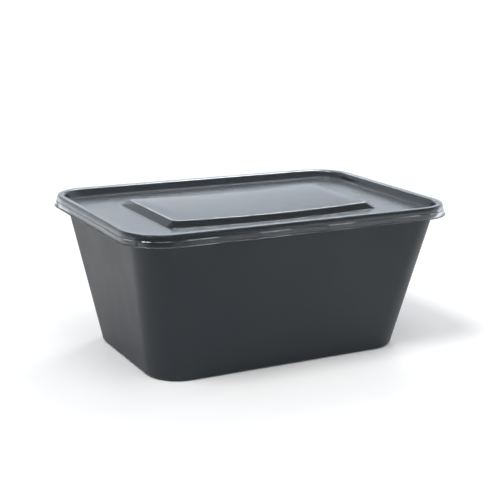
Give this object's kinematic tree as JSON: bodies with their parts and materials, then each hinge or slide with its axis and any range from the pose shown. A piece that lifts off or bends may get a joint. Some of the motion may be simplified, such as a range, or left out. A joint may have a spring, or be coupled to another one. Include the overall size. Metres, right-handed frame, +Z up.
{
  "type": "takeaway meal container",
  "caption": "Deep rectangular takeaway tub with tapered walls and rounded corners, closed by a clear lid with a recessed tray and a raised middle panel.",
  "frame": {"origin": "middle of the flat face that the tub stands on", "axes": "+X along the container's long sides, +Y along its short sides, +Z up"},
  "size_m": [0.1764, 0.1228, 0.0756],
  "materials": {
    "tub_plastic": "injection-moulded black polypropylene with a fine satin surface",
    "lid_plastic": "injection-moulded clear polypropylene, thin, glossy and very slightly hazy"
  },
  "bodies": {
    "root": {"tub": "tub_plastic", "lid": "lid_plastic"}
  },
  "joints": []
}
